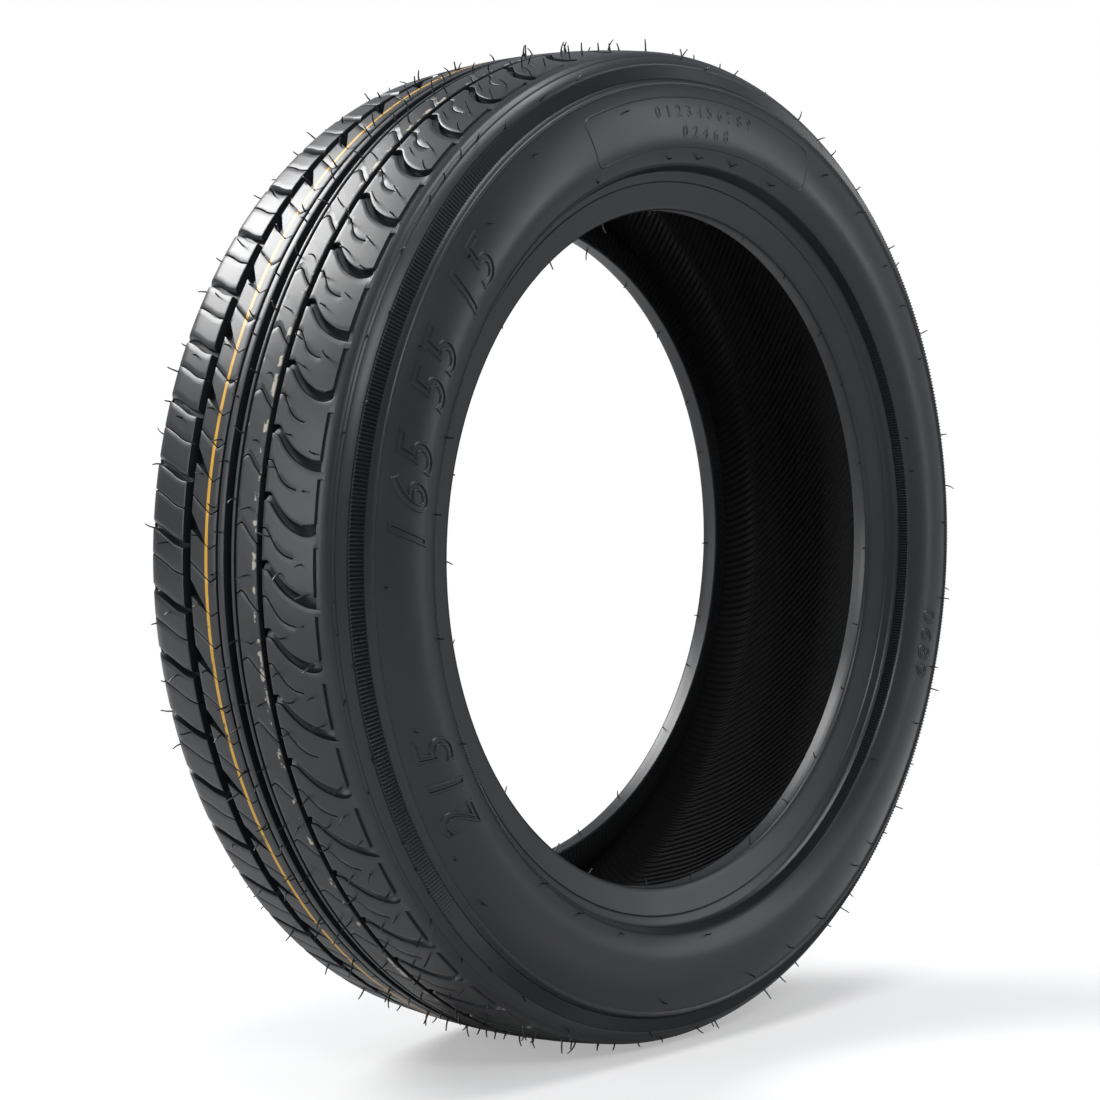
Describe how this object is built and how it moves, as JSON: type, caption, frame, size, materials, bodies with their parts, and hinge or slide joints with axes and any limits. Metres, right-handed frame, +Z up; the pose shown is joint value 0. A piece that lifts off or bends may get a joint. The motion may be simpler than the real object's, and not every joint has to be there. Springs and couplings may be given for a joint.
{
  "type": "car tyre",
  "caption": "Low-profile radial car tyre for a 15 inch rim, with a grooved asymmetric road tread, standing upright on its tread.",
  "frame": {"origin": "middle of the wheel: on the axle line, midway between the two beads", "axes": "+Y along the axle line, with the outer sidewall facing -Y; +Z up, the tread's small flat rests on the ground at the bottom of Z"},
  "size_m": [0.562, 0.168, 0.5608],
  "materials": {
    "tyre_rubber": "satin black moulded rubber, matt inside"
  },
  "bodies": {
    "root": {"tyre": "tyre_rubber"}
  },
  "joints": []
}
